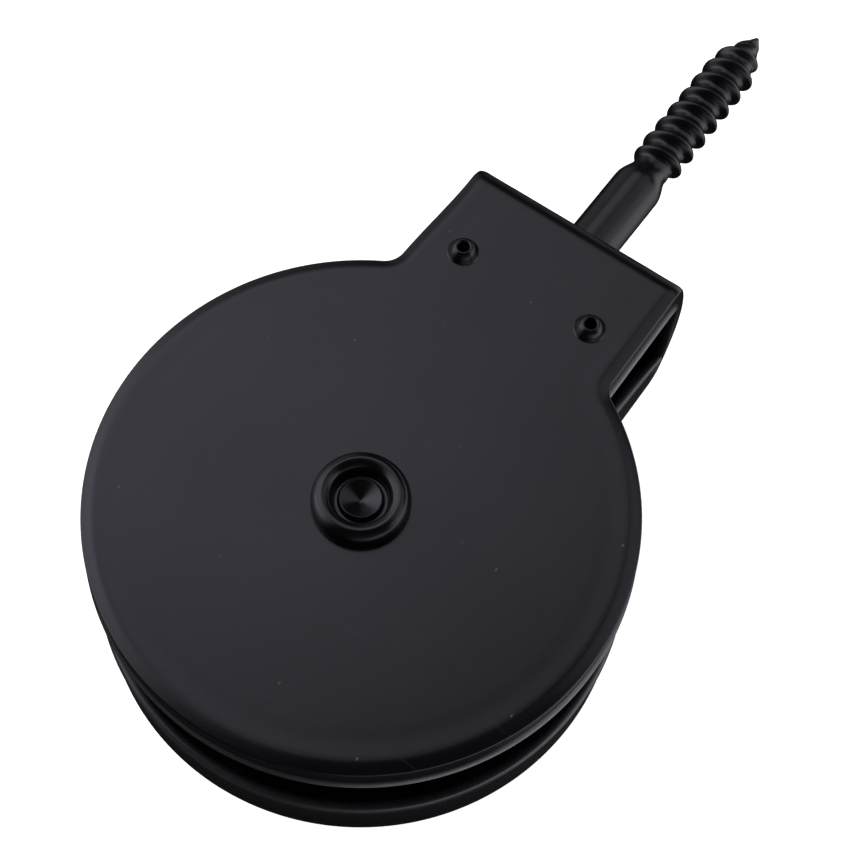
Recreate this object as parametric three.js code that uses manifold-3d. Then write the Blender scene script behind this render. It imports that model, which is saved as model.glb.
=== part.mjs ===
// Single sheave block with a screw: a sheet-steel strap folded over the crown, with a grooved
// sheave between its two cheeks and a coarse screw standing out of the crown.
// Millimetres. +Z is the sheave's axis with the front cheek up, +Y runs up the screw, and the
// origin is on the sheave's axis in the plane that the back heads rest on.
import * as THREE from "three";
import { mergeVertices } from "three/addons/utils/BufferGeometryUtils.js";
import Module from "manifold-3d";

// Strap
const CASE_RADIUS = 29;
const CASE_OFFSET = 0.35; // the round of the cheeks is pressed this far above the axle
const CASE_THICKNESS = 21.8;
const SHEET = 1.2;
const RIM_BEND = 1.5; // outside radius between a cheek's face and its rim
const FRONT_RIM = 4; // depth of the front cheek's rim
const BACK_RIM = 8; // depth of the back cheek's rim
const NECK_WIDTH = 27.6;
const NECK_FILLET = 2.5; // between the neck's side and the round of the cheek
const NECK_FACE_TOP = 39.7; // where the flat face ends and the crown's corner begins
const CROWN_CORNER = 2.8; // radius of the crown's two corners
const CORNER_LEAN = THREE.MathUtils.degToRad(22); // how far a corner stops short of upright
const LIP_FLARE_START = 31.5; // the back lip falls away from here up to the crown
const LIP_FLARE = 2.6;

// Turning parts
const SHEAVE_RADIUS = 25;
const SHEAVE_WIDTH = 15;
const RIM_SHIFT = 0.9; // the grooved rim stands this far forward of its hub, towards the slot's middle
const HUB_RADIUS = 11.5;
const HUB_WIDTH = 16;
const WEB_THICKNESS = 5;
const RIM_INNER_RADIUS = 15.5;
const GROOVE_RADIUS = 5;
const GROOVE_ROOT = 18.3;
const GROOVE_WRAP = THREE.MathUtils.degToRad(65); // half the angle that the round of the groove spans
const BUSH_OUTER = 8;
const SLEEVE_OUTER = 6;
const RUNNING_FIT = 0.06;
const WASHER_OUTER = 10;
const WASHER_THICKNESS = 1;

// Rivets
const HEAD_HEIGHT = 1.2; // heads on the back, which the block rests on
const AXLE_RADIUS = 4;
const AXLE_HEAD = 6;
// each clinched end as (radius, height over the front face), from its foot in to its middle
const AXLE_CLINCH = [
  [5.05, 0], [5.05, 0.75], [4.7, 1.6], [4.1, 2.1], [3.4, 1.95], [3.0, 1.5], [2.7, 0.75], [2.4, 0.6],
  [2.15, 1.05], [0, 0.2],
];
const NECK_RIVET_RADIUS = 1.5;
const NECK_RIVET_HEAD = 2.75;
const NECK_CLINCH = [
  [1.95, 0], [1.85, 0.4], [1.45, 1.0], [1.05, 1.35], [0.8, 1.3], [0.6, 1.05], [0.6, -0.4], [0, -0.2],
];
const NECK_RIVET_X = 8.3;
const NECK_RIVET_Y = 31;
const NECK_SPACER_OUTER = 3;

// Screw
const SHANK_RADIUS = 3.1;
const SHANK_END = 56.0;
const THREAD_START = 59.4;
const THREAD_ROOT = 2.25;
const THREAD_CREST = 3.15;
const THREAD_PITCH = 2.73;
const FIRST_CREST = 61.6; // height of the first full crest on the +X side
const POINT_START = 78.5;
const CREST_DROP_START = 78.2;
const SCREW_TIP = 84.2;
const TIP_RADIUS = 0.35;
const SCREW_HEAD_RADIUS = 5;
const SCREW_HEAD_HEIGHT = 2.6;
const SCREW_LEAN = THREE.MathUtils.degToRad(1.3); // towards +X, from where it leaves the crown
const CROWN_PLATE_WIDTH = 23;
const CROWN_PLATE_UNDERSIDE = 38.9;

const GAP = 0.3; // between pieces that touch
const BEND_STEPS = 3; // facets across a rim's bend
const SCREW_SIDES = 20;
const RINGS_PER_PITCH = 8;
const WIDE = 80; // longer than the block, for cutters

const BACK_FACE = HEAD_HEIGHT;
const FRONT_FACE = BACK_FACE + CASE_THICKNESS;
const MID_PLANE = BACK_FACE + CASE_THICKNESS / 2;
const CROWN_CORNER_TOP = NECK_FACE_TOP + CROWN_CORNER;
const INNER_BACK = BACK_FACE + SHEET;
const INNER_FRONT = FRONT_FACE - SHEET;

const wasm = await Module();
wasm.setup();

// Sides of a full circle of this radius, finer on a larger one.
function sidesOf(radius) {
  return Math.max(20, 2 * Math.round(6 * Math.sqrt(radius)));
}

// ---- joins and cuts -------------------------------------------------------------------------

function solid(geometry) {
  const bare = geometry.index ? geometry.toNonIndexed() : geometry.clone();
  bare.deleteAttribute("normal");
  bare.deleteAttribute("uv");
  const merged = mergeVertices(bare, 1e-4);
  return new wasm.Manifold(
    new wasm.Mesh({
      numProp: 3,
      vertProperties: merged.attributes.position.array,
      triVerts: new Uint32Array(merged.index.array),
    }),
  );
}

function geometryOf(body) {
  const mesh = body.getMesh();
  const geometry = new THREE.BufferGeometry();
  geometry.setAttribute("position", new THREE.BufferAttribute(mesh.vertProperties, 3));
  geometry.setIndex(new THREE.BufferAttribute(mesh.triVerts, 1));
  return geometry;
}

// ---- outlines -------------------------------------------------------------------------------

function arc(cx, cy, radius, from, to) {
  const steps = Math.max(3, Math.round((Math.abs(to - from) / (2 * Math.PI)) * sidesOf(radius)));
  return Array.from({ length: steps + 1 }, (_, i) => {
    const a = from + ((to - from) * i) / steps;
    return new THREE.Vector2(cx + radius * Math.cos(a), cy + radius * Math.sin(a));
  });
}

// Round cheek and straight neck seen from the front, drawn inwards by inset; the neck runs on
// past the crown, which sideProfile() then cuts to shape.
function cheekOutline(inset) {
  const radius = CASE_RADIUS - inset;
  const half = NECK_WIDTH / 2 - inset;
  const fillet = NECK_FILLET + inset;
  const filletY = Math.sqrt((radius + fillet) ** 2 - (half + fillet) ** 2);
  const meet = Math.atan2(filletY, half + fillet);
  return new THREE.Shape([
    new THREE.Vector2(half, WIDE),
    ...arc(half + fillet, CASE_OFFSET + filletY, fillet, Math.PI, Math.PI + meet),
    ...arc(0, CASE_OFFSET, radius, meet, -Math.PI - meet).slice(1, -1),
    ...arc(-half - fillet, CASE_OFFSET + filletY, fillet, -meet, 0),
    new THREE.Vector2(-half, WIDE),
  ]);
}

// The folded strap seen from the side, as y and z: flat cheeks, and a crown with two round
// corners and one long arch between them.
function sideProfile(inset) {
  const corner = CROWN_CORNER - inset;
  const top = FRONT_FACE - inset;
  const bottom = BACK_FACE + inset;
  const archRise = CASE_THICKNESS / 2 - CROWN_CORNER * (1 - Math.sin(CORNER_LEAN));
  const arch = archRise / Math.sin(CORNER_LEAN) - inset;
  const archY = NECK_FACE_TOP + CROWN_CORNER * Math.cos(CORNER_LEAN) - (arch + inset) * Math.cos(CORNER_LEAN);
  return new THREE.Shape([
    new THREE.Vector2(-WIDE, bottom),
    ...arc(NECK_FACE_TOP, bottom + corner, corner, -Math.PI / 2, -CORNER_LEAN),
    ...arc(archY, MID_PLANE, arch, -CORNER_LEAN, CORNER_LEAN).slice(1, -1),
    ...arc(NECK_FACE_TOP, top - corner, corner, CORNER_LEAN, Math.PI / 2),
    new THREE.Vector2(-WIDE, top),
  ]);
}

// ---- basic bodies ---------------------------------------------------------------------------

function slab(inset) {
  const bend = RIM_BEND - inset;
  const geometry = new THREE.ExtrudeGeometry(cheekOutline(inset), {
    depth: CASE_THICKNESS - 2 * inset - 2 * bend,
    bevelThickness: bend,
    bevelSize: bend,
    bevelOffset: -bend,
    bevelSegments: BEND_STEPS,
  });
  geometry.translate(0, 0, BACK_FACE + inset + bend);
  return solid(geometry);
}

// A shape drawn as y and z, extruded along x about the middle plane.
function acrossX(shape, width) {
  const geometry = new THREE.ExtrudeGeometry(shape, { depth: width, bevelEnabled: false });
  const turn = new THREE.Matrix4().makeBasis(
    new THREE.Vector3(0, 1, 0),
    new THREE.Vector3(0, 0, 1),
    new THREE.Vector3(1, 0, 0),
  );
  geometry.applyMatrix4(turn);
  geometry.translate(-width / 2, 0, 0);
  return solid(geometry);
}

// A closed profile of [radius, height] points turned about Z.
function turned(points) {
  const profile = points.map(([r, z]) => new THREE.Vector2(r, z));
  const geometry = new THREE.LatheGeometry(profile, sidesOf(Math.max(...points.map(([r]) => r))));
  geometry.rotateX(Math.PI / 2);
  return geometry;
}

function rod(radius, z0, z1, x = 0, y = 0) {
  const geometry = new THREE.CylinderGeometry(radius, radius, z1 - z0, sidesOf(radius));
  geometry.rotateX(Math.PI / 2);
  geometry.translate(x, y, (z0 + z1) / 2);
  return solid(geometry);
}

function tube(inner, outer, z0, z1) {
  return turned([
    [inner, z0],
    [outer, z0],
    [outer, z1],
    [inner, z1],
    [inner, z0],
  ]);
}

// The hole that the screw's shank passes through, in the crown and in the plate under it.
function screwHole() {
  const radius = SHANK_RADIUS + GAP;
  const geometry = new THREE.CylinderGeometry(radius, radius, WIDE, sidesOf(radius));
  geometry.translate(0, CROWN_PLATE_UNDERSIDE - GAP + WIDE / 2, MID_PLANE);
  return solid(geometry);
}

// ---- strap ----------------------------------------------------------------------------------

// The open slot between the two lips, which ends under the crown.
function lipSlot() {
  const front = FRONT_FACE - FRONT_RIM;
  const back = BACK_FACE + BACK_RIM;
  const shape = new THREE.Shape([
    new THREE.Vector2(-WIDE, back),
    new THREE.Vector2(LIP_FLARE_START, back),
    new THREE.Vector2(CROWN_CORNER_TOP, back - LIP_FLARE),
    new THREE.Vector2(WIDE, back - LIP_FLARE),
    new THREE.Vector2(WIDE, front),
    new THREE.Vector2(-WIDE, front),
  ]);
  return acrossX(shape, WIDE).intersect(acrossX(sideProfile(SHEET), WIDE));
}

function strap() {
  const outer = slab(0).intersect(acrossX(sideProfile(0), WIDE));
  const inner = slab(SHEET).intersect(acrossX(sideProfile(SHEET), WIDE));
  let body = outer.subtract(inner).subtract(lipSlot());
  body = body.subtract(rod(AXLE_RADIUS + GAP, -WIDE, WIDE));
  for (const side of [-1, 1]) {
    body = body.subtract(rod(NECK_RIVET_RADIUS + GAP, -WIDE, WIDE, side * NECK_RIVET_X, NECK_RIVET_Y));
  }
  return geometryOf(body.subtract(screwHole()));
}

// ---- turning parts --------------------------------------------------------------------------

// Half of the sheave's section, from the bore round to the groove's root, above its own mid plane.
function sheaveHalf() {
  const centre = GROOVE_ROOT + GROOVE_RADIUS;
  const edgeR = centre - GROOVE_RADIUS * Math.cos(GROOVE_WRAP);
  const edgeZ = GROOVE_RADIUS * Math.sin(GROOVE_WRAP);
  const mouthZ = edgeZ + (SHEAVE_RADIUS - edgeR) / Math.tan(GROOVE_WRAP);
  const groove = arc(centre, 0, GROOVE_RADIUS, Math.PI - GROOVE_WRAP, Math.PI);
  return [
    [BUSH_OUTER + GAP, HUB_WIDTH / 2],
    [HUB_RADIUS, HUB_WIDTH / 2],
    [HUB_RADIUS, WEB_THICKNESS / 2],
    [RIM_INNER_RADIUS, WEB_THICKNESS / 2],
    [RIM_INNER_RADIUS, SHEAVE_WIDTH / 2],
    [SHEAVE_RADIUS, SHEAVE_WIDTH / 2],
    [SHEAVE_RADIUS, mouthZ],
    ...groove.map((p) => [p.x, p.y]),
  ];
}

function sheave() {
  const upper = sheaveHalf();
  const lower = upper
    .slice(0, -1)
    .reverse()
    .map(([r, z]) => [r, -z]);
  const ring = [...upper, ...lower, upper[0]].reverse();
  const shift = (z) => (Math.abs(z) < HUB_WIDTH / 2 ? RIM_SHIFT : 0);
  return turned(ring.map(([r, z]) => [r, MID_PLANE + z + shift(z)]));
}

function washer(z0) {
  return tube(SLEEVE_OUTER + GAP, WASHER_OUTER, z0, z0 + WASHER_THICKNESS);
}

// ---- rivets ---------------------------------------------------------------------------------

// A half-hollow rivet: a flat head on the back, a solid shank, and a rolled ring round its bore
// on the front, where the point of the closing tool has left a cone in the bottom.
function rivet(shank, head, clinch) {
  const face = FRONT_FACE + GAP / 2;
  const [foot, ...rest] = clinch;
  return turned([
    [0, 0],
    [head - HEAD_HEIGHT * 0.4, 0],
    [head, HEAD_HEIGHT * 0.45],
    [head, HEAD_HEIGHT - GAP / 2],
    [shank, HEAD_HEIGHT - GAP / 2],
    [shank, face],
    [foot[0], face],
    ...rest.map(([radius, height]) => [radius, FRONT_FACE + height]),
  ]);
}

// ---- screw ----------------------------------------------------------------------------------

function rootRadius(y) {
  const t = THREE.MathUtils.clamp((y - POINT_START) / (SCREW_TIP - POINT_START), 0, 1);
  return THREE.MathUtils.lerp(THREAD_ROOT, TIP_RADIUS, t ** 1.65);
}

function crestRadius(y) {
  const t = THREE.MathUtils.clamp((y - CREST_DROP_START) / (SCREW_TIP - CREST_DROP_START), 0, 1);
  return THREE.MathUtils.lerp(THREAD_CREST, TIP_RADIUS, t ** 1.4);
}

// Radius of the threaded part at height y and angle phi, a right-hand thread.
function threadRadius(y, phi) {
  const turns = (y - FIRST_CREST) / THREAD_PITCH - (phi - Math.PI / 2) / (2 * Math.PI);
  const ridge = (0.5 + 0.5 * Math.cos(2 * Math.PI * turns)) ** 1.7;
  const grow = THREE.MathUtils.smoothstep(y, THREAD_START, THREAD_START + THREAD_PITCH / 2);
  return rootRadius(y) + (crestRadius(y) - rootRadius(y)) * ridge * grow;
}

function screw() {
  const head = CROWN_PLATE_UNDERSIDE - GAP;
  const profile = [
    [0, head - SCREW_HEAD_HEIGHT],
    [SCREW_HEAD_RADIUS * 0.8, head - SCREW_HEAD_HEIGHT],
    [SCREW_HEAD_RADIUS, head - SCREW_HEAD_HEIGHT * 0.6],
    [SCREW_HEAD_RADIUS, head],
    [SHANK_RADIUS, head],
    [SHANK_RADIUS, SHANK_END],
    [SHANK_RADIUS * 0.94, SHANK_END + (THREAD_START - SHANK_END) * 0.5],
    [THREAD_ROOT, THREAD_START],
  ];
  const rings = Math.round(((SCREW_TIP - THREAD_START) / THREAD_PITCH) * RINGS_PER_PITCH);
  for (let i = 1; i <= rings; i++) {
    const y = THREAD_START + ((SCREW_TIP - THREAD_START) * i) / rings;
    profile.push([rootRadius(y), y]);
  }
  profile.push([0, SCREW_TIP + TIP_RADIUS]);
  const points = profile.map(([r, y]) => new THREE.Vector2(r, y));
  const geometry = new THREE.LatheGeometry(points, SCREW_SIDES);
  const place = geometry.attributes.position;
  for (let i = 0; i < place.count; i++) {
    const [x, y, z] = [place.getX(i), place.getY(i), place.getZ(i)];
    if (y > THREAD_START + 1e-3 && y <= SCREW_TIP + 1e-3) {
      const phi = Math.atan2(x, z);
      const radius = threadRadius(y, phi);
      place.setXYZ(i, radius * Math.sin(phi), y, radius * Math.cos(phi));
    }
  }
  geometry.translate(0, -CROWN_CORNER_TOP, 0);
  geometry.rotateZ(-SCREW_LEAN);
  geometry.translate(0, CROWN_CORNER_TOP, MID_PLANE);
  return geometry;
}

// The saddle that spreads the screw's pull under the crown.
function crownPlate() {
  const inside = acrossX(sideProfile(SHEET + GAP), CROWN_PLATE_WIDTH);
  const keep = new THREE.BoxGeometry(WIDE, WIDE, CASE_THICKNESS - 2 * (SHEET + GAP));
  keep.translate(0, CROWN_PLATE_UNDERSIDE + WIDE / 2, MID_PLANE);
  return geometryOf(inside.intersect(solid(keep)).subtract(screwHole()));
}

// ---- assembly -------------------------------------------------------------------------------

const finishes = {
  coating: new THREE.MeshStandardMaterial({ color: 0x1b1b1f, roughness: 0.45, metalness: 0.2 }),
  casting: new THREE.MeshStandardMaterial({ color: 0x232326, roughness: 0.6, metalness: 0.3 }),
  bronze: new THREE.MeshStandardMaterial({ color: 0x8a6a3a, roughness: 0.4, metalness: 0.9 }),
  steel: new THREE.MeshStandardMaterial({ color: 0x8d9094, roughness: 0.35, metalness: 1 }),
};

const block = new THREE.Group();

function add(name, geometry, finish, x = 0, y = 0) {
  const mesh = new THREE.Mesh(geometry, finish.clone());
  mesh.name = name;
  mesh.position.set(x, y, 0);
  block.add(mesh);
}

const hubBack = MID_PLANE - HUB_WIDTH / 2;
const hubFront = MID_PLANE + HUB_WIDTH / 2;

add("housing_strap", strap(), finishes.coating);
add("sheave", sheave(), finishes.casting);
add("sheave_bush", tube(SLEEVE_OUTER + RUNNING_FIT, BUSH_OUTER, hubBack, hubFront), finishes.bronze);
add("axle_sleeve", tube(AXLE_RADIUS + GAP, SLEEVE_OUTER, INNER_BACK + GAP, INNER_FRONT - GAP), finishes.steel);
add("axle_rivet", rivet(AXLE_RADIUS, AXLE_HEAD, AXLE_CLINCH), finishes.coating);
add("thrust_washer_back", washer(hubBack - GAP - WASHER_THICKNESS), finishes.steel);
add("thrust_washer_front", washer(hubFront + GAP), finishes.steel);

for (const [name, side] of [
  ["left", -1],
  ["right", 1],
]) {
  const [x, y] = [side * NECK_RIVET_X, NECK_RIVET_Y];
  const spacer = tube(NECK_RIVET_RADIUS + GAP, NECK_SPACER_OUTER, INNER_BACK + GAP, INNER_FRONT - GAP);
  add("neck_rivet_" + name, rivet(NECK_RIVET_RADIUS, NECK_RIVET_HEAD, NECK_CLINCH), finishes.coating, x, y);
  add("neck_spacer_" + name, spacer, finishes.steel, x, y);
}

add("crown_plate", crownPlate(), finishes.steel);
add("screw", screw(), finishes.coating);

export default block;
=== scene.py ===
"""Looks of the single sheave block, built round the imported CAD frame.

Lengths below are in millimetres and become metres when a mesh is made. +Z is the sheave's axis
with the front cheek up, and +Y runs up the screw.
"""

import math

import bmesh
import bpy
from mathutils import Matrix, Vector


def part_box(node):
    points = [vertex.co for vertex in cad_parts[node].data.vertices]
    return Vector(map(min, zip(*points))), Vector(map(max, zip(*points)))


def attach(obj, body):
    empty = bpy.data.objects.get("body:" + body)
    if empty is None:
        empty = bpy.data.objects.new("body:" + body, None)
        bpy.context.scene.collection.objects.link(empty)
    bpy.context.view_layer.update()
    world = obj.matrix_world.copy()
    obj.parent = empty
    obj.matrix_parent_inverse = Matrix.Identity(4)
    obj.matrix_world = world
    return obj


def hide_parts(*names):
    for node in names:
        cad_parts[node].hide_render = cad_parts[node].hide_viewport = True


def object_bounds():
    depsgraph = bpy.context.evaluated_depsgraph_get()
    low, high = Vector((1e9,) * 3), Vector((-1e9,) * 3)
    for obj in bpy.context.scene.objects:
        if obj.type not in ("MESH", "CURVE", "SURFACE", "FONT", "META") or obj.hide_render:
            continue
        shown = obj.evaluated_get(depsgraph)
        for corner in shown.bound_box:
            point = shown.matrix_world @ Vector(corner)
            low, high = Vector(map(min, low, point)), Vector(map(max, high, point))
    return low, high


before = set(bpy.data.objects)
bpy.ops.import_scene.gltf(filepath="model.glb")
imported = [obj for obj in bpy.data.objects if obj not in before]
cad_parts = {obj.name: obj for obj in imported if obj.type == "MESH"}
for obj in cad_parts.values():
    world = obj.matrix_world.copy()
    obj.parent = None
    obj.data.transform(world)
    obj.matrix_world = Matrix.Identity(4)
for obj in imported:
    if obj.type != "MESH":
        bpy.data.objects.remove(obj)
CAD_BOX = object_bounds()

MM = 0.001
TAU = 2 * math.pi


def box_mm(node):
    low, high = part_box(node)
    return low / MM, high / MM


# ---- sizes ----------------------------------------------------------------------------------

STRAP_LOW, STRAP_HIGH = box_mm("housing_strap")
BACK, FRONT = STRAP_LOW.z, STRAP_HIGH.z
MID = (BACK + FRONT) / 2
CHEEK_RADIUS = (STRAP_HIGH.x - STRAP_LOW.x) / 2
CHEEK_Y = STRAP_LOW.y + CHEEK_RADIUS
NECK_RIVETS = {side: box_mm("neck_rivet_" + side) for side in ("left", "right")}

SHEET = 1.2
NECK_HALF = 13.8  # half the neck's width
NECK_FILLET = 2.5
NECK_FACE_TOP = 39.7
CROWN_CORNER = 2.8  # radius where a face turns over into the crown
CORNER_LEAN = math.radians(22)  # the crown's arch spans this much to each side
CORNER_STEPS = 18
ARCH_STEPS = 28
FRONT_RIM = 4.0
BACK_RIM = 8.0
FRONT_LIP = FRONT - FRONT_RIM
RIM_BEND = 1.5
MARGIN_SLOPE = math.radians(22)  # the face's margin leans this much where it meets the corner
MARGIN_POWER = 1.6  # how suddenly the margin turns down
CORNER_ROUND = 0.3
WEAR_START = 0.74  # as a share of the wall
CROWN_BEND = 0.75  # the bend tightens where the strap folds over the crown
CROWN_EDGE = 1.75  # width of the strap's edge over the crown
LIP_FLARE_START = 31.5  # from here up, the back lip falls away towards the crown
LIP_FLARE = 2.6
FRONT_LIP_TURN = 36.6  # the lips leave the straight neck at these heights
BACK_LIP_TURN = 36.2
CROWN_LIP_SPAN = 0.62  # the lip's arc under the crown, as a share of CORNER_LEAN
# Handles of the lips' curves between the straight neck and the crown, in (y, z).
FRONT_LIP_PULLS = (Vector((2.6, 0)), Vector((0.1, 1.5)))
BACK_LIP_PULLS = (Vector((0.1, -1.2)), Vector((2.2, -0.45)))
NECK_STEPS = 12
NECK_COLUMNS = 10
NECK_SET_START = 26.0  # from here up, the neck narrows and is set over to +X
NECK_TAPER = 0.02
NECK_SHIFT = 0.35
AXLE_HOLE = 4.2
NECK_HOLE = 1.7
SCREW_HOLE = 3.25
FACE_STRIP = 5.0  # how far the swept edge of a cheek reaches in over its face
FACE_VALLEY = 0.014  # the face dips by this much just inside the bend
LIP_CURL = 0.4  # the last of a rim turns out by this much
CURL_START = 0.62  # as a share of the wall
WALL_STEPS = (0.1, 0.25, 0.42, 0.52, 0.6, 0.68, 0.76, 0.84, 0.92)  # as shares of the wall
WALL_DRAFT = 0.2  # the rim stands this much inside the edge above the curl
EDGE_ROUND = 0.15
BACK_EDGE = (0.5, 0.9)  # the back lip's outer edge is rounded off this far in and down


# ---- mesh helpers ---------------------------------------------------------------------------


def mesh_object(name, points, faces, material, sharp=35.0, wear=None):
    """A smooth-shaded object from points in millimetres. wear is 0 to 1 for each point."""
    mesh = bpy.data.meshes.new(name)
    mesh.from_pydata([Vector(p) * MM for p in points], [], faces)
    if wear:
        mesh.attributes.new("wear", "FLOAT", "POINT").data.foreach_set("value", wear)
    return finish_mesh(name, mesh, material, sharp)


def finish_mesh(name, mesh, material, sharp=35.0):
    bm = bmesh.new()
    bm.from_mesh(mesh)
    bmesh.ops.remove_doubles(bm, verts=bm.verts, dist=1e-6)
    bmesh.ops.recalc_face_normals(bm, faces=bm.faces)
    bm.to_mesh(mesh)
    bm.free()
    mesh.polygons.foreach_set("use_smooth", [True] * len(mesh.polygons))
    mesh.set_sharp_from_angle(angle=math.radians(sharp))
    mesh.materials.append(material)
    obj = bpy.data.objects.new(name, mesh)
    bpy.context.scene.collection.objects.link(obj)
    return obj


def arc(cx, cy, radius, start, end, steps):
    """Points on an arc, both ends included."""
    return [
        (cx + radius * math.cos(start + (end - start) * i / steps),
         cy + radius * math.sin(start + (end - start) * i / steps))
        for i in range(steps + 1)
    ]


def rounded(corners, steps=4):
    """A closed outline from (x, y, radius) corners, each turned into a small arc."""
    out = []
    for i, (x, y, radius) in enumerate(corners):
        if radius <= 0:
            out.append((x, y))
            continue
        here = Vector((x, y))
        to_last = (Vector(corners[i - 1][:2]) - here).normalized()
        to_next = (Vector(corners[(i + 1) % len(corners)][:2]) - here).normalized()
        half = to_last.angle(to_next) / 2
        reach = radius / math.tan(half)
        centre = here + (to_last + to_next).normalized() * (radius / math.sin(half))
        a, b = here + to_last * reach - centre, here + to_next * reach - centre
        turn = a.angle_signed(b)
        for k in range(steps + 1):
            p = centre + Matrix.Rotation(-turn * k / steps, 2) @ a
            out.append((p.x, p.y))
    return out


def lathe(name, outline, material, centre=(0, 0), segments=128, sharp=35.0):
    """A closed outline of (radius, z) turned about an upright axis."""
    points, rings = [], []
    for radius, z in outline:
        if radius < 1e-6:
            rings.append([len(points)] * segments)
            points.append((centre[0], centre[1], z))
            continue
        rings.append([len(points) + k for k in range(segments)])
        for k in range(segments):
            a = TAU * k / segments
            points.append((centre[0] + radius * math.cos(a), centre[1] + radius * math.sin(a), z))
    faces = []
    for low, high in zip(rings, rings[1:] + rings[:1]):
        if low[0] == low[1] and high[0] == high[1]:
            continue
        for k in range(segments):
            m = (k + 1) % segments
            corners = [low[k], low[m], high[m], high[k]]
            faces.append(tuple(dict.fromkeys(corners)))
    return mesh_object(name, points, faces, material, sharp)


def cut_one(obj, point, axis, radius, half):
    """Cuts one round hole from obj."""
    turn = Matrix.Rotation(math.radians(90), 4, "X") if axis == "Y" else Matrix.Identity(4)
    bm = bmesh.new()
    bmesh.ops.create_cone(
        bm, cap_ends=True, segments=64,
        radius1=radius * MM, radius2=radius * MM, depth=2 * half * MM,
        matrix=Matrix.Translation(Vector(point) * MM) @ turn,
    )
    mesh = bpy.data.meshes.new("cutter")
    bm.to_mesh(mesh)
    bm.free()
    tool = bpy.data.objects.new("cutter", mesh)
    bpy.context.scene.collection.objects.link(tool)
    modifier = obj.modifiers.new("hole", "BOOLEAN")
    modifier.operation = "DIFFERENCE"
    modifier.solver = "EXACT"
    modifier.object = tool
    bpy.context.view_layer.update()
    evaluated = obj.evaluated_get(bpy.context.evaluated_depsgraph_get())
    done = bpy.data.meshes.new_from_object(evaluated)
    obj.modifiers.clear()
    obj.data = done
    bpy.data.objects.remove(tool)


def cut(obj, holes):
    """Cuts round holes: (point, axis letter, radius, half length), in millimetres."""
    for hole in holes:
        cut_one(obj, *hole)
    obj.data.polygons.foreach_set("use_smooth", [True] * len(obj.data.polygons))
    obj.data.set_sharp_from_angle(angle=math.radians(35))
    return obj


# ---- materials ------------------------------------------------------------------------------


class Nodes:
    """A material's node tree, built by short calls."""

    def __init__(self, name):
        self.material = bpy.data.materials.new(name)
        self.material.use_nodes = True
        self.tree = self.material.node_tree
        self.shader = self.tree.nodes["Principled BSDF"]

    def add(self, kind, **settings):
        node = self.tree.nodes.new(kind)
        for key, value in settings.items():
            if key in node.inputs:
                node.inputs[key].default_value = value
            else:
                setattr(node, key, value)
        return node

    def link(self, source, target):
        self.tree.links.new(source, target)

    def place(self, scale=(1, 1, 1), turn=(0, 0, 0)):
        """Object coordinates in millimetres, stretched and turned."""
        coordinates = self.add("ShaderNodeTexCoord")
        mapping = self.add("ShaderNodeMapping")
        mapping.inputs["Scale"].default_value = [s / MM for s in scale]
        mapping.inputs["Rotation"].default_value = [math.radians(a) for a in turn]
        self.link(coordinates.outputs["Object"], mapping.inputs["Vector"])
        return mapping.outputs["Vector"]

    def noise(self, place, scale, detail=4.0, roughness=0.55):
        node = self.add("ShaderNodeTexNoise", Scale=scale, Detail=detail, Roughness=roughness)
        self.link(place, node.inputs["Vector"])
        return node.outputs["Fac"]

    def ramp(self, value, low, high, to_low=0.0, to_high=1.0):
        """value between low and high becomes to_low to to_high, held at the ends."""
        node = self.add("ShaderNodeMapRange", clamp=True)
        limits = {"From Min": low, "From Max": high, "To Min": to_low, "To Max": to_high}
        for key, number in limits.items():
            node.inputs[key].default_value = number
        self.link(value, node.inputs["Value"])
        return node.outputs["Result"]

    def math(self, operation, a, b):
        node = self.add("ShaderNodeMath", operation=operation)
        for socket, value in zip(node.inputs, (a, b)):
            if isinstance(value, (int, float)):
                socket.default_value = value
            else:
                self.link(value, socket)
        return node.outputs[0]

    def mix(self, share, a, b):
        node = self.add("ShaderNodeMix", data_type="RGBA")
        for socket, value in zip((node.inputs[0], node.inputs[6], node.inputs[7]), (share, a, b)):
            if isinstance(value, bpy.types.NodeSocket):
                self.link(value, socket)
            else:
                socket.default_value = (*value, 1)
        return node.outputs[2]

    def bump(self, height, distance, strength=1.0, after=None):
        node = self.add("ShaderNodeBump", Strength=strength, Distance=distance * MM)
        self.link(height, node.inputs["Height"])
        if after is not None:
            self.link(after, node.inputs["Normal"])
        return node.outputs["Normal"]


COAT_TINT = (0.86, 0.83, 1.0)
SPECK_COLOUR = (0.11, 0.11, 0.115)
SCRATCHES = ((18, 0.9), (83, 1.3), (131, 1.1))  # turn in degrees and scale of each set
SCRATCH_SHARE = 0.08
WORN_COLOUR = (0.16, 0.157, 0.175)
WORN_METAL = 0.8
WORN_POLISH = -0.07
LIGHT_PATCH = 1.35  # the coating's lighter patches against its darker ones
MARK_DULLNESS = 0.2
MARK_HEIGHT = 0.012
WAVE_HEIGHT = 0.02


def dust(n):
    """Small bright specks, lying unevenly."""
    cells = n.add("ShaderNodeTexVoronoi", feature="F1", Scale=0.5, Randomness=1.0)
    n.link(n.place((1.0, 0.62, 1.0), (0, 0, 24)), cells.inputs["Vector"])
    dots = n.ramp(cells.outputs["Distance"], 0.03, 0.07, 1.0, 0.0)
    pick = n.add("ShaderNodeSeparateColor")
    n.link(cells.outputs["Color"], pick.inputs[0])
    chosen = n.ramp(pick.outputs[0], 0.77, 0.8)
    return n.math("MULTIPLY", dots, chosen)


def scratches(n):
    """Hairlines in three directions."""
    lines = None
    for turn, scale in SCRATCHES:
        streak = n.noise(n.place((0.09, 2.2, 0.09), (0, 0, turn)), scale, 2, 0.5)
        line = n.ramp(streak, 0.715, 0.76)
        lines = line if lines is None else n.math("MAXIMUM", lines, line)
    return lines


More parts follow.
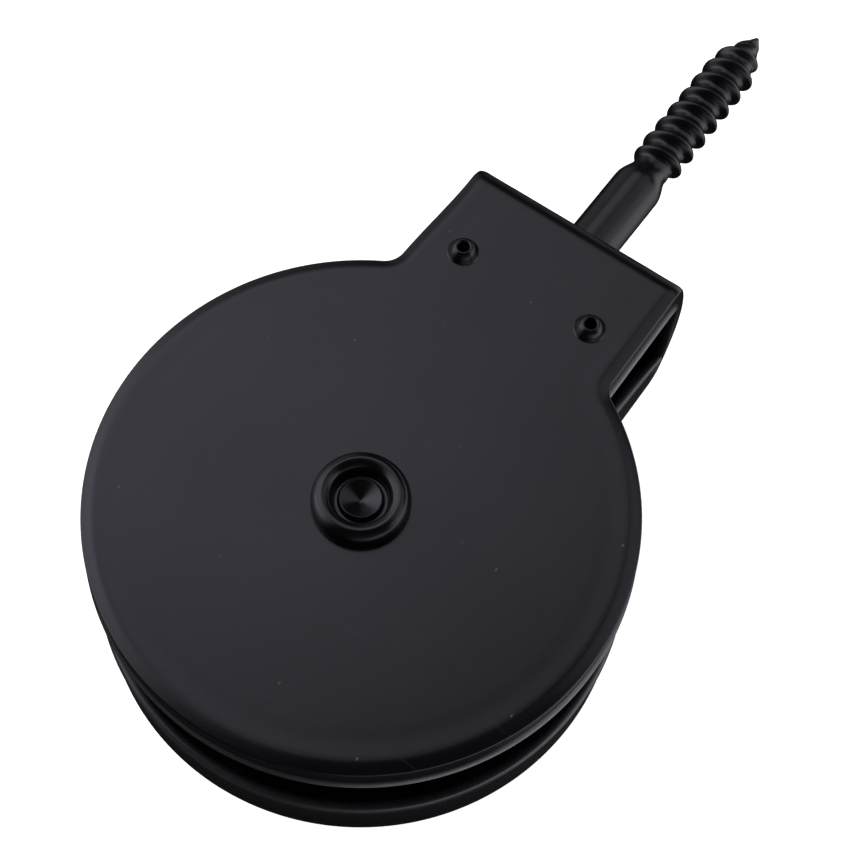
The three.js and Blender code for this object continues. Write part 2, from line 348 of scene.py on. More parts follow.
def worn_share(n):
    """The mesh's own wear, made a little uneven."""
    wear = n.add("ShaderNodeAttribute", attribute_name="wear").outputs["Fac"]
    uneven = n.ramp(n.noise(n.place((1, 1, 0.4)), 0.9, 4, 0.6), 0.25, 0.6, 0.8, 1.0)
    return n.math("MULTIPLY", wear, uneven)


def coating(name, colour, gloss, peel=0.004, specks=1.0, worn_edges=False):
    """Satin black coating: fine orange peel, faint waves from pressing, dust specks, hairline
    scratches, slow changes in gloss and, if asked for, edges worn to a brighter grey."""
    n = Nodes(name)
    place = n.place()
    slow = n.noise(place, 0.06, 3)
    fine = n.noise(place, 2.6, 3, 0.6)
    grain = n.noise(place, 7.0, 2, 0.6)
    specked = n.math("MULTIPLY", dust(n), specks)
    scratched = n.math("MULTIPLY", scratches(n), SCRATCH_SHARE * specks)
    marks = n.math("MAXIMUM", specked, scratched)
    shade = n.mix(n.ramp(slow, 0.35, 0.65), colour, tuple(LIGHT_PATCH * c for c in colour))
    shade = n.mix(marks, shade, SPECK_COLOUR)
    slow_gloss = n.ramp(slow, 0.3, 0.7, gloss - 0.03, gloss + 0.03)
    rough = n.math("ADD", slow_gloss, n.ramp(grain, 0.3, 0.7, -0.02, 0.02))
    if worn_edges:
        wear = worn_share(n)
        shade = n.mix(wear, shade, WORN_COLOUR)
        n.link(n.math("MULTIPLY", wear, WORN_METAL), n.shader.inputs["Metallic"])
        rough = n.math("ADD", rough, n.math("MULTIPLY", wear, WORN_POLISH))
    n.link(shade, n.shader.inputs["Base Color"])
    rough = n.math("ADD", rough, n.math("MULTIPLY", marks, MARK_DULLNESS))
    n.link(rough, n.shader.inputs["Roughness"])
    waves = n.bump(n.noise(place, 0.11, 2), WAVE_HEIGHT)
    skin = n.bump(fine, peel, after=waves)
    raised = n.bump(marks, MARK_HEIGHT, after=skin)
    n.link(raised, n.shader.inputs["Normal"])
    n.shader.inputs["Specular Tint"].default_value = (*COAT_TINT, 1)
    return n.material


def turned_metal(name, colour, gloss, metallic, groove_scale=4.0, depth=0.003):
    """Turned metal: fine rings round the axis, with slow changes in gloss."""
    n = Nodes(name)
    n.shader.inputs["Metallic"].default_value = metallic
    place = n.place()
    slow = n.noise(place, 0.15, 3)
    shade = n.mix(n.ramp(slow, 0.3, 0.7), colour, tuple(0.7 * c for c in colour))
    n.link(shade, n.shader.inputs["Base Color"])
    n.link(n.ramp(slow, 0.3, 0.7, gloss - 0.06, gloss + 0.08), n.shader.inputs["Roughness"])
    rings = n.noise(n.place((0.05, 0.05, 3)), groove_scale, 2)
    n.link(n.bump(rings, depth), n.shader.inputs["Normal"])
    return n.material


SATIN = coating("satin_black", (0.0035, 0.0033, 0.0045), 0.25, worn_edges=True)
RIVET_BLACK = coating("rivet_black", (0.003, 0.003, 0.0035), 0.23, peel=0.002, specks=0.6)
SCREW_BLACK = coating("screw_black", (0.0035, 0.0035, 0.004), 0.27, peel=0.006, specks=0.8)
SHEAVE_BLACK = turned_metal("sheave_black", (0.004, 0.004, 0.0045), 0.42, 0.0, 3.0, 0.01)
BRONZE = turned_metal("bronze", (0.42, 0.27, 0.11), 0.32, 1.0)
STEEL = turned_metal("turned_steel", (0.34, 0.34, 0.35), 0.3, 1.0)


# ---- strap ----------------------------------------------------------------------------------


class Station:
    """One place on the strap's edge: the sharp outer corner, the way out past the edge, the way
    out of the face, the lip's outer corner and the bend's radius."""

    def __init__(self, corner, out, up, lip, bend=RIM_BEND):
        self.corner = Vector(corner)
        self.out = Vector(out)
        self.up = Vector(up)
        self.lip = Vector(lip)
        self.bend = bend

    def at(self, inset, depth):
        return self.corner - self.out * inset - self.up * depth


def smooth(t):
    t = min(max(t, 0.0), 1.0)
    return t * t * (3 - 2 * t)


def cheek_stations(face, up, rim, lift):
    """Stations from the bottom of the round to the neck's foot, on the +X side."""
    fillet_y = math.sqrt((CHEEK_RADIUS + NECK_FILLET) ** 2 - (NECK_HALF + NECK_FILLET) ** 2)
    meet = math.atan2(fillet_y, NECK_HALF + NECK_FILLET)
    out = []
    for x, y in arc(0, CHEEK_Y, CHEEK_RADIUS, -math.pi / 2, meet, 96):
        out.append(((x, y), Vector((x, y - CHEEK_Y, 0)).normalized()))
    cx, cy = NECK_HALF + NECK_FILLET, CHEEK_Y + fillet_y
    for x, y in arc(cx, cy, NECK_FILLET, math.pi + meet, math.pi, 14)[1:]:
        out.append(((x, y), Vector((cx - x, cy - y, 0)).normalized()))
    return [
        Station((x, y, face), n, (0, 0, up), (x, y, face - up * (rim - lift(y))))
        for (x, y), n in out
    ]


def back_lift(y):
    """How far the back lip has fallen away at height y."""
    top = NECK_FACE_TOP + CROWN_CORNER
    return LIP_FLARE * min(max((y - LIP_FLARE_START) / (top - LIP_FLARE_START), 0.0), 1.0)


def back_lip(y):
    return BACK + BACK_RIM - back_lift(y)


def crown_profile():
    """The crown from the front face to the back face as (y, z, outward angle), and the centre
    and radius of its arch."""
    rise = (FRONT - BACK) / 2 - CROWN_CORNER * (1 - math.sin(CORNER_LEAN))
    radius = rise / math.sin(CORNER_LEAN)
    centre_y = NECK_FACE_TOP + (CROWN_CORNER - radius) * math.cos(CORNER_LEAN)
    quarter = math.pi / 2
    out = []
    for i in range(CORNER_STEPS + 1):
        a = quarter + (CORNER_LEAN - quarter) * i / CORNER_STEPS
        out.append((NECK_FACE_TOP, FRONT - CROWN_CORNER, CROWN_CORNER, a))
    for i in range(1, ARCH_STEPS + 1):
        out.append((centre_y, MID, radius, CORNER_LEAN - 2 * CORNER_LEAN * i / ARCH_STEPS))
    for i in range(1, CORNER_STEPS + 1):
        a = -CORNER_LEAN + (CORNER_LEAN - quarter) * i / CORNER_STEPS
        out.append((NECK_FACE_TOP, BACK + CROWN_CORNER, CROWN_CORNER, a))
    profile = [(cy + r * math.cos(a), cz + r * math.sin(a), a) for cy, cz, r, a in out]
    return profile, (centre_y, radius)


def bezier(p0, p1, p2, p3, t):
    u = 1 - t
    return p0 * u**3 + p1 * 3 * u * u * t + p2 * 3 * u * t * t + p3 * t**3


def crown_station(row, lip, bend):
    y, z, a = row
    up = (0, math.cos(a), math.sin(a))
    return Station((NECK_HALF, y, z), (1, 0, 0), up, (NECK_HALF, lip.x, lip.y), bend)


def front_corner(profile, lip_end):
    """From the top of the straight neck over the front corner to the arch. The lip rises from
    the neck's lip line to its place under the arch."""
    start = Vector((FRONT_LIP_TURN, FRONT_LIP))
    pull, end_pull = FRONT_LIP_PULLS
    rise = NECK_FACE_TOP - FRONT_LIP_TURN
    rows = [(FRONT_LIP_TURN + rise * i / 6, FRONT, math.pi / 2) for i in range(1, 6)]
    rows += profile[:CORNER_STEPS + 1]
    out = []
    for i, row in enumerate(rows):
        t = (i + 1) / len(rows)
        lip = bezier(start, start + pull, lip_end + end_pull, lip_end, t)
        out.append(crown_station(row, lip, RIM_BEND + (CROWN_BEND - RIM_BEND) * smooth(t)))
    return out


def back_corner(profile, lip_end):
    """From the arch over the back corner to the top of the straight neck."""
    start = Vector((BACK_LIP_TURN, back_lip(BACK_LIP_TURN)))
    end_pull, pull = BACK_LIP_PULLS
    fall = BACK_LIP_TURN - NECK_FACE_TOP
    rows = profile[CORNER_STEPS + ARCH_STEPS:]
    rows += [(NECK_FACE_TOP + fall * i / 6, BACK, -math.pi / 2) for i in range(1, 7)]
    out = []
    for i, row in enumerate(rows):
        t = i / (len(rows) - 1)
        lip = bezier(lip_end, lip_end + end_pull, start + pull, start, t)
        out.append(crown_station(row, lip, CROWN_BEND + (RIM_BEND - CROWN_BEND) * smooth(t)))
    return out


def neck_stations(foot_y):
    """Stations up the +X side of the neck, over the crown and down the back."""
    profile, (arch_y, arch_radius) = crown_profile()
    edge = arch_radius - CROWN_EDGE
    span = CORNER_LEAN * CROWN_LIP_SPAN

    def arch_lip(angle):
        return Vector((arch_y + edge * math.cos(angle), MID + edge * math.sin(angle)))

    out = []
    for i in range(1, NECK_STEPS + 1):
        y = foot_y + (FRONT_LIP_TURN - foot_y) * i / NECK_STEPS
        lip = (NECK_HALF, y, FRONT_LIP)
        out.append(Station((NECK_HALF, y, FRONT), (1, 0, 0), (0, 0, 1), lip))
    out += front_corner(profile, arch_lip(span))
    arch = profile[CORNER_STEPS + 1:CORNER_STEPS + ARCH_STEPS]
    for i, row in enumerate(arch):
        t = (i + 1) / ARCH_STEPS
        out.append(crown_station(row, arch_lip(span * (1 - 2 * t)), CROWN_BEND))
    out += back_corner(profile, arch_lip(-span))
    for i in range(1, NECK_STEPS):
        y = BACK_LIP_TURN + (foot_y - BACK_LIP_TURN) * i / NECK_STEPS
        lip = (NECK_HALF, y, back_lip(y))
        out.append(Station((NECK_HALF, y, BACK), (1, 0, 0), (0, 0, -1), lip))
    return out


def face_edge(s):
    """The face's last strip, its sloped margin and the tight corner, down to the wall's top.
    Returns the points and the wall's top."""
    out = []
    for k in range(7):
        inset = FACE_STRIP + (s.bend - FACE_STRIP) * k / 7
        out.append(s.at(inset, FACE_VALLEY * math.sin(math.pi * k / 7) ** 2))
    r = CORNER_ROUND * s.bend / RIM_BEND
    slope_end = r * (1 - math.sin(MARGIN_SLOPE))
    drop = (s.bend - slope_end) * math.tan(MARGIN_SLOPE) / MARGIN_POWER
    for k in range(8):
        t = k / 8
        out.append(s.at(s.bend + (slope_end - s.bend) * t, drop * t**MARGIN_POWER))
    for k in range(9):
        a = MARGIN_SLOPE + (math.pi / 2 - MARGIN_SLOPE) * k / 8
        depth = drop + r * (math.cos(MARGIN_SLOPE) - math.cos(a))
        out.append(s.at(r * (1 - math.sin(a)), depth))
    return out, s.at(0, drop + r * math.cos(MARGIN_SLOPE))


def section(s):
    """The sheet's section at a station, from the face's outside round the lip to its inside, and
    how worn each point is."""
    edge, top = face_edge(s)
    out = [(point, 0) for point in edge]
    down = (s.lip - top).normalized()
    length = (s.lip - top).length
    share = min(length / (FRONT_RIM - RIM_BEND), 1.0)
    back = (1 - s.up.z) / 2  # 0 on the front cheek and 1 on the back one
    r, depth = (EDGE_ROUND + (size - EDGE_ROUND) * back for size in BACK_EDGE)
    foot = top.lerp(s.lip, 1 - depth / length)
    for reach in WALL_STEPS:
        curl = LIP_CURL * max((reach - CURL_START) / (1 - CURL_START), 0) ** 2
        shift = (curl - WALL_DRAFT * smooth(reach / 0.4)) * share
        worn = smooth((reach - WEAR_START) / (1 - WEAR_START)) * (1 - back)
        out.append((top.lerp(foot, reach) + s.out * shift, worn))
    end = s.lip + s.out * (LIP_CURL - WALL_DRAFT) * share
    for k in range(7):
        a = math.pi / 2 * k / 6
        point = end + s.out * (r * (math.cos(a) - 1)) + down * (depth * (math.sin(a) - 1))
        worn = (1 - 0.7 * smooth(k / 6)) * (1 - back * (1 - 0.6 * smooth(k / 2)))
        out.append((point, worn))
    return out + [(point, 0) for point in inner_side(s, end, down)]


def inner_side(s, end, down):
    """Round the lip's inner edge, up the inside of the wall and in under the face."""
    out = []
    c = EDGE_ROUND
    for k in range(4):
        a = math.pi / 2 * k / 3
        out.append(end - s.out * (SHEET - c + c * math.sin(a)) + down * (c * (math.cos(a) - 1)))
    inner = max(s.bend - SHEET, 0.12)
    foot = s.at(SHEET, SHEET + inner)
    out += [(end - s.out * SHEET).lerp(foot, share) for share in (0.33, 0.67)]
    for k in range(5):
        a = math.pi / 2 * k / 4
        out.append(s.at(SHEET + inner * (1 - math.cos(a)), SHEET + inner * (1 - math.sin(a))))
    out.append(s.at(FACE_STRIP, SHEET))
    return out


def neck_set(x, y, z):
    """The neck narrows a little towards the crown and is set over to +X."""
    t = smooth((y - NECK_SET_START) / (NECK_FACE_TOP - NECK_SET_START))
    return x * (1 - NECK_TAPER * t) + NECK_SHIFT * t, y, z


def add_quads(table, faces):
    for a, b in zip(table, table[1:]):
        for k in range(len(a) - 1):
            faces.append((a[k], b[k], b[k + 1], a[k + 1]))


def sweep_side(rows, side, points, faces):
    """Adds the swept edge of one side, 1 for +X and -1 for -X, and returns its point numbers."""
    table = []
    for row in rows:
        table.append([len(points) + k for k in range(len(row))])
        points.extend(neck_set(p.x * side, p.y, p.z) for p, worn in row)
    add_quads(table, faces)
    return table


def fill_middle(right, left, first, last, points, faces):
    """Joins two matching columns of the swept edges over the neck and crown, and closes the flat
    middle of each cheek."""
    grid = []
    for a, b in zip(right[first:last + 1], left[first:last + 1]):
        start, end = Vector(points[a]), Vector(points[b])
        inner = []
        for c in range(1, NECK_COLUMNS):
            inner.append(len(points))
            points.append(tuple(start.lerp(end, c / NECK_COLUMNS)))
        grid.append([a, *inner, b])
    add_quads(grid, faces)
    front_ring = right[:first + 1] + grid[0][1:-1] + left[first:0:-1]
    back_ring = right[:last - 1:-1] + grid[-1][1:-1] + left[last:-1]
    faces.extend([tuple(front_ring), tuple(back_ring)])


def strap_shell():
    front = cheek_stations(FRONT, 1, FRONT_RIM, lambda y: 0.0)
    back = cheek_stations(BACK, -1, BACK_RIM, back_lift)
    neck = neck_stations(front[-1].corner.y)
    rows = [section(s) for s in front + neck + back[::-1]]
    points, faces = [], []
    right, left = (sweep_side(rows, side, points, faces) for side in (1, -1))
    first, last = len(front) - 1, len(front) + len(neck)
    for k in (0, len(rows[0]) - 1):
        columns = ([row[k] for row in table] for table in (right, left))
        fill_middle(*columns, first, last, points, faces)
    wear = [worn for row in rows for point, worn in row] * 2
    wear += [0.0] * (len(points) - len(wear))
    obj = mesh_object("strap_shell", points, faces, SATIN, wear=wear)
    wall = FRONT - BACK
    crown = (0, NECK_FACE_TOP + CROWN_CORNER, MID)
    holes = [((0, 0, MID), "Z", AXLE_HOLE, wall), (crown, "Y", SCREW_HOLE, 6)]
    for low, high in NECK_RIVETS.values():
        middle = (low + high) / 2
        holes.append(((middle.x, middle.y, MID), "Z", NECK_HOLE, wall))
    return cut(obj, holes)


# ---- pieces ---------------------------------------------------------------------------------


AXLE_SHANK = 3.95
NECK_SHANK = 1.5
HEAD_ROUND = 0.45
# Half sections of the clinched ends, from the outside in: (radius, height over the front cheek).
AXLE_CLINCH = [
    (5.2, 0.02), (5.22, 0.3), (5.2, 0.75), (5.08, 1.2), (4.85, 1.6), (4.55, 1.9), (4.2, 2.08),
    (3.95, 2.1), (3.6, 2.0), (3.3, 1.78), (3.08, 1.45), (2.95, 1.05), (2.88, 0.6), (2.82, 0.25),
    (2.76, 0.16), (2.46, 0.16), (2.4, 0.25), (2.34, 0.6), (2.26, 0.82), (2.16, 0.9), (2.04, 0.88),
    (1.4, 0.65), (0.8, 0.42), (0.3, 0.25), (0, 0.2),
]
NECK_CLINCH = [
    (1.8, 0.0), (1.7, 0.1), (1.6, 0.28), (1.44, 0.58), (1.26, 0.86), (1.06, 1.08), (0.9, 1.18),
    (0.76, 1.17), (0.66, 1.04), (0.61, 0.6), (0.55, -0.35), (0.3, -0.45), (0, -0.4),
]


def between(a, b, c, d, t):
    """A share t of the way from b to c, on a smooth line through a, b, c and d."""
    slope = c - a
    bend = 2 * a - 5 * b + 4 * c - d
    twist = 3 * b - a - 3 * c + d
    return 0.5 * (2 * b + slope * t + bend * t * t + twist * t**3)


def smoothed(points):
    """The same line with two more points put into each step."""
    out = []
    for k, (p1, p2) in enumerate(zip(points, points[1:])):
        p0, p3 = points[max(k - 1, 0)], points[min(k + 2, len(points) - 1)]
        for t in (0.0, 0.34, 0.67):
            out.append(tuple(between(*values, t) for values in zip(p0, p1, p2, p3)))
    return out + [points[-1]]


def half_hollow_rivet(name, node, shank, clinch):
    """A flat back head and a shank, with its hollow end rolled out over the front cheek."""
    low, high = box_mm(node)
    head = (high.x - low.x) / 2
    edge = head - HEAD_ROUND
    outline = [(0, low.z), (edge - HEAD_ROUND, low.z)]
    outline += arc(edge, low.z + HEAD_ROUND, HEAD_ROUND, -math.pi / 2, 0, 5)
    outline += [
        (head, BACK - 0.05), (head - 0.1, BACK), (shank, BACK + 0.1),
        (shank, FRONT - 0.05), (clinch[0][0] - 0.1, FRONT - 0.03),
    ]
    outline += [(r, FRONT + h) for r, h in smoothed(clinch)]
    centre = ((low.x + high.x) / 2, (low.y + high.y) / 2)
    return lathe(name, outline, RIVET_BLACK, centre, 96, sharp=50)


SHEAVE_OFFSET = 0.9  # the wheel's mid plane stands this much towards the front
SHEAVE_HALF = 7.5
GROOVE_RADIUS = 5.0
GROOVE_CENTRE = 23.3
GROOVE_WRAP = math.radians(65)
HUB_RADIUS = 11.5
WEB_RADIUS = 15.5
WEB_HALF = 2.5


def sheave_wheel():
    """A grooved rim on a thinner web, with a hub as long as its bush."""
    outer = box_mm("sheave")[1].x
    bush_low, bush_high = box_mm("sheave_bush")
    hub_half = (bush_high.z - bush_low.z) / 2
    inner = bush_high.x + 0.3
    plane = MID + SHEAVE_OFFSET
    edge_r = GROOVE_CENTRE - GROOVE_RADIUS * math.cos(GROOVE_WRAP)
    edge_z = GROOVE_RADIUS * math.sin(GROOVE_WRAP)
    mouth = edge_z + (outer - edge_r) / math.tan(GROOVE_WRAP)
    upper = [
        (inner, MID + hub_half, 0.3), (HUB_RADIUS, MID + hub_half, 0.5),
        (HUB_RADIUS, plane + WEB_HALF, 1.0), (WEB_RADIUS, plane + WEB_HALF, 1.2),
        (WEB_RADIUS, plane + SHEAVE_HALF, 0.5), (outer, plane + SHEAVE_HALF, 0.5),
        (outer, plane + mouth, 0.35),
    ]
    lower = [(r, 2 * plane - z, c) for r, z, c in upper[1:]][::-1]
    lower[-1] = (HUB_RADIUS, MID - hub_half, 0.5)
    lower.append((inner, MID - hub_half, 0.3))
    start, end = math.pi - GROOVE_WRAP, math.pi + GROOVE_WRAP
    curve = arc(GROOVE_CENTRE, 0, GROOVE_RADIUS, start, end, 24)
    groove = [(r, plane + z, 0) for r, z in curve]
    return lathe("sheave_wheel", rounded(upper + groove + lower), SHEAVE_BLACK, segments=160)


def ring_piece(name, node, inner, material, edge=0.2, segments=96):
    """A plain ring as large as its CAD node, with its edges rounded."""
    low, high = box_mm(node)
    outer = (high.x - low.x) / 2
    outline = rounded([
        (inner, low.z, edge), (outer, low.z, edge), (outer, high.z, edge), (inner, high.z, edge),
    ])
    return lathe(name, outline, material, ((low.x + high.x) / 2, (low.y + high.y) / 2), segments)


SHANK_RADIUS = 3.1
SHANK_END = 56.0
THREAD_START = 59.4
SHOULDER_POWER = 1.3
THREAD_ROOT = 2.25
THREAD_CREST = 3.15
THREAD_PITCH = 2.73
FIRST_CREST = 61.6
POINT_START = 78.5
CREST_DROP_START = 78.2
SCREW_TIP = 84.2
TIP_RADIUS = 0.35
SCREW_LEAN = math.radians(1.3)
CREST_HOOK = 0.05  # share of a pitch that the crests lean towards the head
RIDGE_POWER = 2.3  # how narrow the crests are
ROOT_POWER = 1.65  # how late the root closes in on the tip
CREST_POWER = 1.4
HEAD_TOP = 38.6
HEAD_HEIGHT = 2.6
HEAD_RADIUS = 5.0
SCREW_SEGMENTS = 72
RINGS_PER_PITCH = 26


def share_along(y, start):
    """0 up to start and 1 at the screw's tip."""
    return min(max((y - start) / (SCREW_TIP - start), 0.0), 1.0)


def thread_radius(y, phi):
    """The thread's surface at height y and angle phi. Root and crest both close in on the tip."""
    root_drop = share_along(y, POINT_START) ** ROOT_POWER
    root = THREAD_ROOT + (TIP_RADIUS - THREAD_ROOT) * root_drop
    crest_drop = share_along(y, CREST_DROP_START) ** CREST_POWER
    crest = THREAD_CREST + (TIP_RADIUS - THREAD_CREST) * crest_drop
    turns = (y - FIRST_CREST) / THREAD_PITCH - (phi - math.pi / 2) / TAU
    turns -= CREST_HOOK * math.sin(TAU * turns - 0.6)
    ridge = (0.5 + 0.5 * math.cos(TAU * turns)) ** RIDGE_POWER
    grow = smooth((y - THREAD_START) / (THREAD_PITCH / 2))
    return root + (crest - root) * ridge * grow


def screw_profile():
    """(radius, y) up the screw, with no radius where the thread's own is to be used."""
    bottom = HEAD_TOP - HEAD_HEIGHT
    out = [
        (0, bottom), (HEAD_RADIUS - 1.0, bottom), (HEAD_RADIUS - 0.3, HEAD_TOP - 2.2),
        (HEAD_RADIUS, HEAD_TOP - 1.5), (HEAD_RADIUS, HEAD_TOP - 0.15), (HEAD_RADIUS - 0.2, HEAD_TOP),
        (SHANK_RADIUS + 0.1, HEAD_TOP), (SHANK_RADIUS, HEAD_TOP + 0.1),
    ]
    out += [(SHANK_RADIUS, HEAD_TOP + (SHANK_END - HEAD_TOP) * k / 12) for k in range(1, 13)]
    for k in range(1, 9):
        t = k / 8
        radius = SHANK_RADIUS + (THREAD_ROOT - SHANK_RADIUS) * smooth(t) ** SHOULDER_POWER
        out.append((radius, SHANK_END + (THREAD_START - SHANK_END) * t))
    length = SCREW_TIP - THREAD_START
    count = round(length / THREAD_PITCH * RINGS_PER_PITCH)
    out += [(None, THREAD_START + length * k / count) for k in range(1, count + 1)]
    return out + [(TIP_RADIUS * 0.75, SCREW_TIP + TIP_RADIUS * 0.6), (0, SCREW_TIP + TIP_RADIUS)]


def screw_piece():
    """The screw, leaning to +X about the place where it passes the crown."""
    pivot = NECK_FACE_TOP + CROWN_CORNER
    centre = Vector((0, pivot, MID))
    lean = Matrix.Rotation(-SCREW_LEAN, 3, "Z")
    points, faces, rings = [], [], []
    for radius, y in screw_profile():
        if radius == 0:
            rings.append([len(points)] * SCREW_SEGMENTS)
            points.append(lean @ Vector((0, y - pivot, 0)) + centre)
            continue
        rings.append([len(points) + k for k in range(SCREW_SEGMENTS)])
        for k in range(SCREW_SEGMENTS):
            phi = TAU * k / SCREW_SEGMENTS
            r = thread_radius(y, phi) if radius is None else radius
            p = Vector((r * math.sin(phi), y - pivot, r * math.cos(phi)))
            points.append(lean @ p + centre)
    for low, high in zip(rings, rings[1:]):
        for k in range(SCREW_SEGMENTS):
            m = (k + 1) % SCREW_SEGMENTS
            faces.append(tuple(dict.fromkeys((low[k], low[m], high[m], high[k]))))
    return mesh_object("screw_body", points, faces, SCREW_BLACK, sharp=60)


SADDLE_GAP = 0.3
SADDLE_HOLE = 3.4
SADDLE_EDGE = 0.15


def crown_saddle():
    """The plate under the crown, arched like it, with its edges rounded."""
    low, high = box_mm("crown_plate")
    arch_y, arch_radius = crown_profile()[1]
    radius = arch_radius - SHEET - SADDLE_GAP
    limit = math.asin((high.z - low.z) / 2 / radius)
    outline = arc(arch_y, MID, radius, -limit, limit, 24) + [(low.y, high.z), (low.y, low.z)]
    points, faces = [], []
    for x in (low.x, high.x):
        points += [(x, y, z) for y, z in outline]
    count = len(outline)
    for k in range(count):
        m = (k + 1) % count
        faces.append((k, m, count + m, count + k))
    faces += [tuple(range(count)), tuple(range(2 * count - 1, count - 1, -1))]
    obj = mesh_object("crown_saddle", points, faces, STEEL)
    cut(obj, [((0, low.y, MID), "Y", SADDLE_HOLE, 10)])
    bevel = obj.modifiers.new("edges", "BEVEL")
    bevel.width = SADDLE_EDGE * MM
    bevel.segments = 2
    bevel.limit_method = "ANGLE"
    return obj


# Radii of the plain pieces' bores.
BUSH_BORE = 6.06
SLEEVE_BORE = 4.2
WASHER_BORE = 6.3
SPACER_BORE = 1.75


def put(obj, body, node):
    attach(obj, body)
    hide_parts(node)


put(strap_shell(), "block", "housing_strap")
put(sheave_wheel(), "wheel", "sheave")
bush = ring_piece("bush", "sheave_bush", BUSH_BORE, BRONZE)
put(bush, "wheel", "sheave_bush")
sleeve = ring_piece("sleeve", "axle_sleeve", SLEEVE_BORE, STEEL)
put(sleeve, "block", "axle_sleeve")
for side in ("back", "front"):
    node = "thrust_washer_" + side
    washer = ring_piece("washer_" + side, node, WASHER_BORE, STEEL)
    put(washer, "block", node)
axle = half_hollow_rivet("axle_pin", "axle_rivet", AXLE_SHANK, AXLE_CLINCH)
put(axle, "block", "axle_rivet")
for side in NECK_RIVETS:
    node = "neck_rivet_" + side
    pin = half_hollow_rivet("neck_pin_" + side, node, NECK_SHANK, NECK_CLINCH)
    put(pin, "block", node)
    node = "neck_spacer_" + side
    spacer = ring_piece("spacer_" + side, node, SPACER_BORE, STEEL, segments=64)
    put(spacer, "block", node)
put(crown_saddle(), "block", "crown_plate")
put(screw_piece(), "block", "screw")


# ---- floor, light and camera ----------------------------------------------------------------


def white(name):
    """A pale matt white with a glow that keeps the whole sweep even."""
    n = Nodes(name)
    tone = n.ramp(n.noise(n.place(), 0.02, 2), 0.3, 0.7, 0.79, 0.81)
    n.link(tone, n.shader.inputs["Base Color"])
    n.shader.inputs["Roughness"].default_value = 0.9
    n.shader.inputs["Emission Color"].default_value = (1, 1, 1, 1)
    n.shader.inputs["Emission Strength"].default_value = 1.0
    return n.material


FLOOR_HALF = 1500
SURROUND_RADIUS = 2000
FLOOR_GAP = 0.2  # keeps the floor off the rivets' flat heads


def backdrop():
    """A pale floor under the block and a white surround, which throw no light on the block."""
    size = FLOOR_HALF
    corners = [(-size, -size, 0), (size, -size, 0), (size, size, 0), (-size, size, 0)]
    floor = mesh_object("floor", corners, [(0, 1, 2, 3)], white("floor_white"))
    floor.location.z = CAD_BOX[0].z - FLOOR_GAP * MM
    dome = arc(0, 0, SURROUND_RADIUS, -math.pi / 2, math.pi / 2, 32)
    surround = lathe("surround", dome, white("surround_white"), segments=64)
    for obj in (floor, surround):
        obj.visible_glossy = obj.visible_diffuse = obj.visible_shadow = False


def direction(azimuth, elevation):
    """Azimuth 0 is where a camera that looks along +Y stands, and 90 is towards +X."""
    a, e = math.radians(azimuth), math.radians(elevation)
    return Vector((math.sin(a) * math.cos(e), -math.cos(a) * math.cos(e), math.sin(e)))


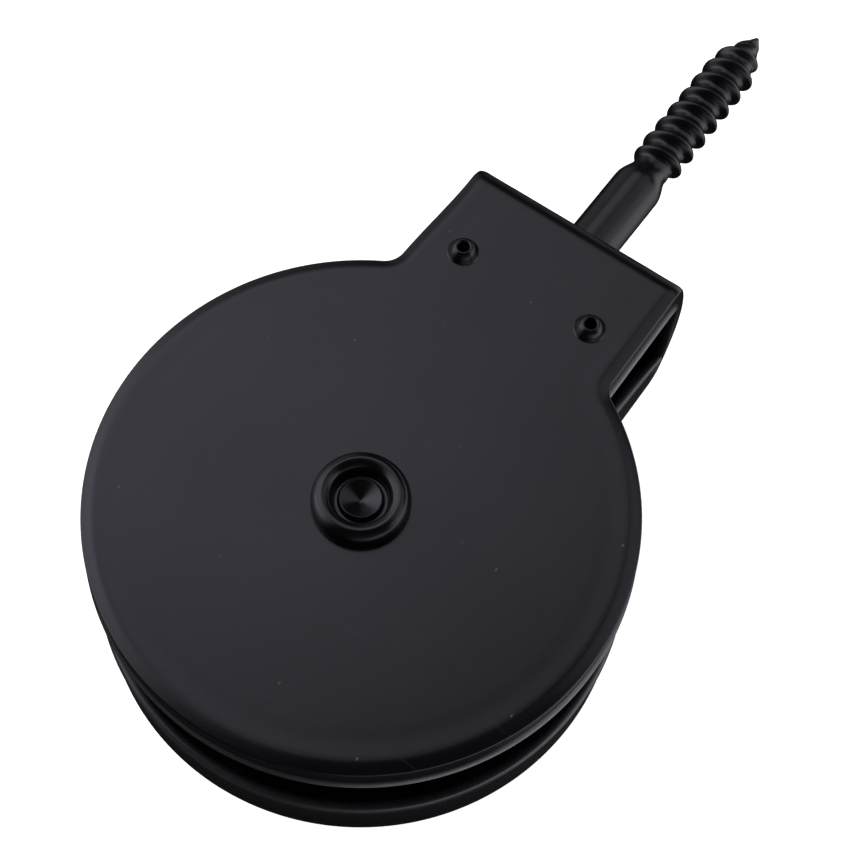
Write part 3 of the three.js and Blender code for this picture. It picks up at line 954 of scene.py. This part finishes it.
class Studio:
    """A dark world with soft white panels in it, for light and reflections."""

    def __init__(self, base):
        self.world = bpy.data.worlds.new("studio")
        self.world.use_nodes = True
        self.tree = self.world.node_tree
        coordinates = self.tree.nodes.new("ShaderNodeTexCoord")
        self.place = coordinates.outputs["Generated"]
        self.total = self.math("ADD", base, 0.0)

    def math(self, operation, a, b):
        node = self.tree.nodes.new("ShaderNodeMath")
        node.operation = operation
        for socket, value in zip(node.inputs, (a, b)):
            if isinstance(value, float):
                socket.default_value = value
            else:
                self.tree.links.new(value, socket)
        return node.outputs[0]

    def edge(self, value, start, end):
        """0 at start and 1 at end, with a smooth step between."""
        node = self.tree.nodes.new("ShaderNodeMapRange")
        node.interpolation_type = "SMOOTHSTEP"
        flip = start > end
        node.inputs["From Min"].default_value = end if flip else start
        node.inputs["From Max"].default_value = start if flip else end
        node.inputs["To Min"].default_value = 1.0 if flip else 0.0
        node.inputs["To Max"].default_value = 0.0 if flip else 1.0
        self.tree.links.new(value, node.inputs["Value"])
        return node.outputs["Result"]

    def toward(self, azimuth, elevation):
        node = self.tree.nodes.new("ShaderNodeVectorMath")
        node.operation = "DOT_PRODUCT"
        self.tree.links.new(self.place, node.inputs[0])
        node.inputs[1].default_value = direction(azimuth, elevation)
        return node.outputs["Value"]

    def round_panel(self, azimuth, elevation, inner, outer, strength):
        """A round panel that fades from inner to outer degrees off its centre."""
        start, end = (math.cos(math.radians(a)) for a in (outer, inner))
        panel = self.edge(self.toward(azimuth, elevation), start, end)
        self.total = self.math("ADD", self.total, self.math("MULTIPLY", panel, strength))

    def strip(self, azimuth, inner, outer, low, high, soft, strength):
        """A level strip between two elevations, which fades from inner to outer degrees off
        its azimuth."""
        start, end = (math.cos(math.radians(a)) for a in (outer, inner))
        panel = self.edge(self.toward(azimuth, 0), start, end)
        height = self.toward(0, 90)
        for start, end in ((low - soft, low + soft), (high + soft, high - soft)):
            start, end = (math.sin(math.radians(a)) for a in (start, end))
            panel = self.math("MULTIPLY", panel, self.edge(height, start, end))
        self.total = self.math("ADD", self.total, self.math("MULTIPLY", panel, strength))

    def finish(self):
        self.tree.links.new(self.total, self.tree.nodes["Background"].inputs["Color"])
        bpy.context.scene.world = self.world


CAMERA_AZIMUTH = 30.855
CAMERA_ELEVATION = 64.057
CAMERA_ROLL = 4.307
CAMERA_LENS = 76.1
CAMERA_AIM = Vector((0.39, 11.05, FRONT)) * MM
CAMERA_DISTANCE = 189.16 * MM


def camera():
    away = direction(CAMERA_AZIMUTH, CAMERA_ELEVATION)
    side = Vector((0, 0, 1)).cross(away).normalized()
    top = away.cross(side)
    roll = math.radians(CAMERA_ROLL)
    right = side * math.cos(roll) + top * math.sin(roll)
    up = top * math.cos(roll) - side * math.sin(roll)
    data = bpy.data.cameras.new("camera")
    data.sensor_width = 36
    data.lens = CAMERA_LENS
    data.clip_start = 0.005
    obj = bpy.data.objects.new("camera", data)
    place = CAMERA_AIM + away * CAMERA_DISTANCE
    obj.matrix_world = Matrix((
        (right.x, up.x, away.x, place.x),
        (right.y, up.y, away.y, place.y),
        (right.z, up.z, away.z, place.z),
        (0, 0, 0, 1),
    ))
    bpy.context.scene.collection.objects.link(obj)
    bpy.context.scene.camera = obj


backdrop()
studio = Studio(0.018)
# The face mirrors the first panel and, mostly on its left side, the second.
studio.round_panel(215, 55, 14, 22, 0.78)
studio.round_panel(258, 58, 0, 32, 0.62)
# These three light the left flanks of the rivets, shank and thread.
studio.round_panel(285, 30, 15, 45, 1.3)
studio.round_panel(305, 8, 10, 32, 0.5)
studio.round_panel(240, 12, 5, 32, 0.3)
# The lips mirror the strip as bright lines, brightest to the right.
studio.strip(108, 5, 98, -26, 8, 8, 1.3)
# These light the right flanks of the thread and shank, and the right margin of the cheek.
studio.round_panel(95, -38, 0, 18, 0.6)
studio.round_panel(115, 22, 8, 26, 1.0)
studio.round_panel(147, 48, 12, 26, 0.6)
studio.round_panel(118, -38, 4, 20, 0.5)
# A faint fill, which the face mirrors when it is seen from behind.
studio.round_panel(45, 15, 0, 40, 0.08)
studio.finish()
camera()
bpy.context.scene.view_settings.view_transform = "Standard"
